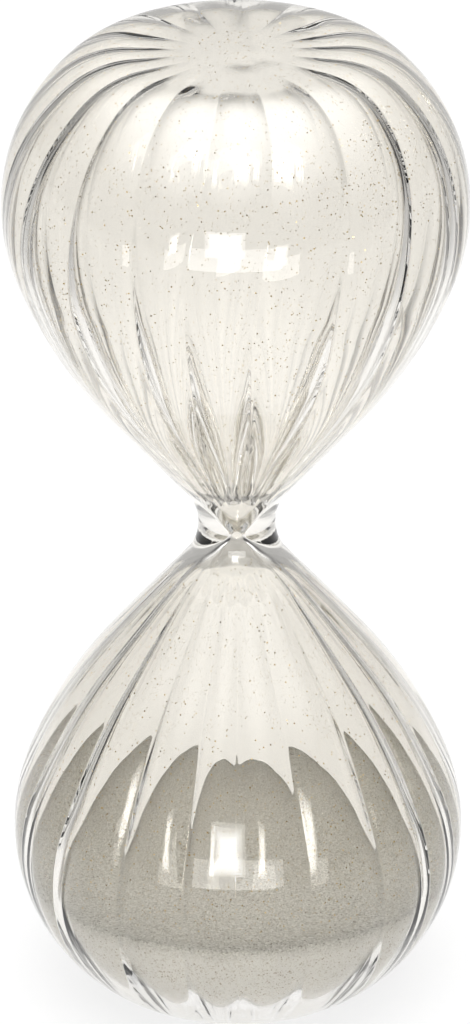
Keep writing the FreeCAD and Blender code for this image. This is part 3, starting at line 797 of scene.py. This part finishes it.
# %% Stopper and seal
def silicone_look():
    look = Shader("stopper_silicone")
    cloud = look.noise(500.0, 4.0)
    colour = look.mix(cloud, (0.70, 0.69, 0.64, 1), (0.80, 0.79, 0.75, 1))
    bump = look.make("ShaderNodeBump", None, Strength=0.2, Distance=0.0002,
                     Height=look.noise(1500.0, 2.0))
    shader = look.make("ShaderNodeBsdfPrincipled", None, Base_Color=colour, Roughness=0.55,
                       Subsurface_Weight=0.2, Subsurface_Scale=0.002, Normal=bump.out("Normal"))
    return look.surface(shader.out("BSDF"))


def adhesive_look():
    look = Shader("clear_adhesive")
    cloud = look.noise(300.0, 3.0)
    colour = look.mix(cloud, (0.86, 0.84, 0.76, 1), (0.93, 0.92, 0.87, 1))
    shader = look.make("ShaderNodeBsdfPrincipled", None, Base_Color=colour, Roughness=0.12,
                       IOR=1.48, Transmission_Weight=0.8)
    return look.surface(shader.out("BSDF"))


def wear(piece, material):
    """Give a whole piece one material."""
    piece.data.materials.clear()
    piece.data.materials.append(material)


def refinish(node, material):
    """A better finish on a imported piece, through its own slots."""
    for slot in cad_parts[node].material_slots:
        slot.material = material


gold = glitter_look()
loose = grain_look()
wear(glass_body, clear_glass())
wear(sand, sand_look())
wear(loose_grains, loose)
wear(caught_grains, loose)
for piece in (upper_flakes, lower_flakes, sand_flakes):
    wear(piece, gold)
refinish("fill_stopper", silicone_look())
refinish("stopper_seal", adhesive_look())

# %% [markdown]
# ## Which piece stands for what
# Each new piece rides on the one body, and the table names its material.  All but the loose
# grains and the flakes on the sand replace imported nodes; those two are added detail.

# %% Tie the pieces to the frame
for piece, slot, nodes in (
    (glass_body, "clear_glass", ("upper_bulb", "neck", "lower_bulb")),
    (sand, "sand", ("sand_bed",)),
    (loose_grains, "sand", ()),
    (caught_grains, "sand", ("throat_grains",)),
    (upper_flakes, "gold_glitter", ("upper_glitter",)),
    (lower_flakes, "gold_glitter", ("lower_glitter",)),
    (sand_flakes, "gold_glitter", ()),
):
    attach(piece, "root")
    if nodes:
        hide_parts(*nodes)

# %% [markdown]
# ## The stage
# Clear glass has no colour of its own to show: what we see is the pale floor behind it,
# bent by the wall.  Where a rib bends the view past the bright floor we see the dimmer
# room, and that draws the ribs.  So the floor is one wide sheet of dark grey paper with a
# painted glow.  It shines of itself, brightest in a soft oval pool under and behind the
# object, as under a diffused light, and that glow also lights the object.

# %% Floor
FLOOR_REACH = 6.0
POOL_CENTRE = 0.30
POOL_REACH = (0.75, 1.60)
# Strength of the floor's painted glow: light the floor gives off though it is no lamp.
PAINTED_FLOOR_GLOW = 0.80
corners = np.array([(-1, -1, 0), (1, -1, 0), (1, 1, 0), (-1, 1, 0)]) * FLOOR_REACH
floor = mesh_object("floor", corners, [(0, 1, 2, 3)])
paper = Shader("paper_with_painted_glow")
paper_tone = paper.mix(paper.noise(400.0, 4.0), (0.17, 0.17, 0.17, 1), (0.18, 0.18, 0.18, 1))
spot = paper.make("ShaderNodeSeparateXYZ", None, Vector=paper.place)
across = spot.out("X") * (1.0 / POOL_REACH[0])
along_view = (spot.out("Y") - POOL_CENTRE) * (1.0 / POOL_REACH[1])
far = paper.math("SQRT", across * across + along_view * along_view)
# Painted light: the floor glows of itself, brightest in a soft oval pool under and behind the
# object.
painted_glow_pool = paper.ramp(far, [(0.27, (1.0, 1.0, 1.0, 1)), (0.6, (0.56, 0.56, 0.56, 1)),
                        (1.0, (0.36, 0.36, 0.36, 1))])
paper_shader = paper.make("ShaderNodeBsdfPrincipled", None, Base_Color=paper_tone, Roughness=0.9,
                          Specular_IOR_Level=0.1, Emission_Color=painted_glow_pool,
                          Emission_Strength=PAINTED_FLOOR_GLOW)
wear(floor, paper.surface(paper_shader.out("BSDF")))

# %% [markdown]
# The room is a world shader.  A ramp over the height of the direction makes the ceiling
# bright and the walls dim, and a second ramp keeps the far wall a plain grey.  The dim
# walls are what the ribs and the throat pick up as thin dark lines.

# %% Sky
SKY_STRENGTH = 4.2
FAR_WALL = (0.12, 0.12, 0.12, 1.0)
world = bpy.data.worlds.new("room")
world.use_nodes = True
bpy.context.scene.world = world
sky = world.node_tree
sky.nodes.clear()
direction, split, ramp, far_wall, join, background, output = (
    sky.nodes.new("ShaderNode" + kind) for kind in (
        "TexCoord", "SeparateXYZ", "ValToRGB", "ValToRGB", "Mix", "Background", "OutputWorld"))
join.data_type = "RGBA"
join.inputs[7].default_value = FAR_WALL
background.inputs["Strength"].default_value = SKY_STRENGTH
for source, target in (
    (direction.outputs["Generated"], split.inputs[0]),
    (split.outputs["Z"], ramp.inputs[0]),
    (split.outputs["Y"], far_wall.inputs[0]),
    (far_wall.outputs[0], join.inputs[0]),
    (ramp.outputs[0], join.inputs[6]),
    (join.outputs[2], background.inputs["Color"]),
    (background.outputs[0], output.inputs["Surface"]),
):
    sky.links.new(source, target)
set_stops(far_wall.color_ramp, [(0.62, (0, 0, 0, 1)), (0.82, (1, 1, 1, 1))])
set_stops(ramp.color_ramp, [
    (0.00, (0.13, 0.13, 0.13, 1)), (0.04, (0.12, 0.12, 0.12, 1)),
    (0.09, (0.008, 0.008, 0.009, 1)), (0.55, (0.015, 0.015, 0.016, 1)),
    (0.80, (0.5, 0.5, 0.5, 1)), (1.0, (1.0, 1.0, 1.0, 1))])

# %% [markdown]
# The small highlights on the bulbs are reflections of a window.  One lamp would leave a hard
# rectangle, so five lamps of shrinking size stand one behind the other and their edges
# add up to a soft one.  A low, wide lamp fills the front of the sand.

# %% Lamps
WINDOW_PLACE = np.array([-0.22, -2.40, 0.70])
WINDOW_STEP = np.array([0.0, 0.01, 0.0])
WINDOW_AIM = (0.0, 0.0, 0.14)
WINDOW_SIDES = (0.80, 0.66, 0.52, 0.40, 0.30)
WINDOW_SHAPE = 0.80
WINDOW_POWER = 2.6 / 0.52 ** 2


def look_along(toward, roll=0.0):
    """Euler angles that point an object's -Z along a direction."""
    turn = Vector(toward).to_track_quat("-Z", "Y").to_matrix()
    return (turn @ Matrix.Rotation(roll, 3, "Z")).to_euler()


def soft_box(name, place, aim, width, length, power):
    """A rectangular lamp that faces its aim."""
    lamp = bpy.data.lights.new(name, "AREA")
    lamp.shape = "RECTANGLE"
    lamp.size = width
    lamp.size_y = length
    lamp.energy = power
    box = bpy.data.objects.new(name, lamp)
    box.location = place
    box.rotation_euler = look_along(np.array(aim) - np.array(place))
    bpy.context.scene.collection.objects.link(box)


for step, side in enumerate(WINDOW_SIDES):
    soft_box("window_%d" % step, WINDOW_PLACE + step * WINDOW_STEP, WINDOW_AIM,
             side, WINDOW_SHAPE * side, WINDOW_POWER * side ** 2)
soft_box("low_fill", (0.0, -2.1, 0.30), (0.0, 0.0, 0.05), 1.7, 0.5, 10.5)

# %% [markdown]
# The camera looks down at the neck from the front with a long lens, so that both bulbs
# show with little perspective and the flat of the crown opens into a narrow ellipse.

# %% Camera
VIEW_DISTANCE = 1.691
VIEW_ELEVATION = math.radians(27.5)
VIEW_ROLL = math.radians(-0.2)
LENS = 217.4
AIM = np.array([-0.0005, 0.0, neck_height + 0.0025])
back = np.array([0.0, -math.cos(VIEW_ELEVATION), math.sin(VIEW_ELEVATION)])
camera = bpy.data.cameras.new("camera")
camera.lens = LENS
camera.clip_end = 50.0
viewer = bpy.data.objects.new("camera", camera)
viewer.location = AIM + VIEW_DISTANCE * back
viewer.rotation_euler = look_along(-back, VIEW_ROLL)
bpy.context.scene.collection.objects.link(viewer)
bpy.context.scene.camera = viewer

# %% [markdown]
# A look through the object crosses four glass surfaces and often many more, so light may
# cross surfaces up to thirty-two times before it is given up as black.

# %% Light paths and tone
scene = bpy.context.scene
scene.cycles.max_bounces = 32
scene.cycles.transmission_bounces = 32
scene.cycles.glossy_bounces = 12
scene.cycles.diffuse_bounces = 4
scene.cycles.use_denoising = True
scene.view_settings.view_transform = "Standard"
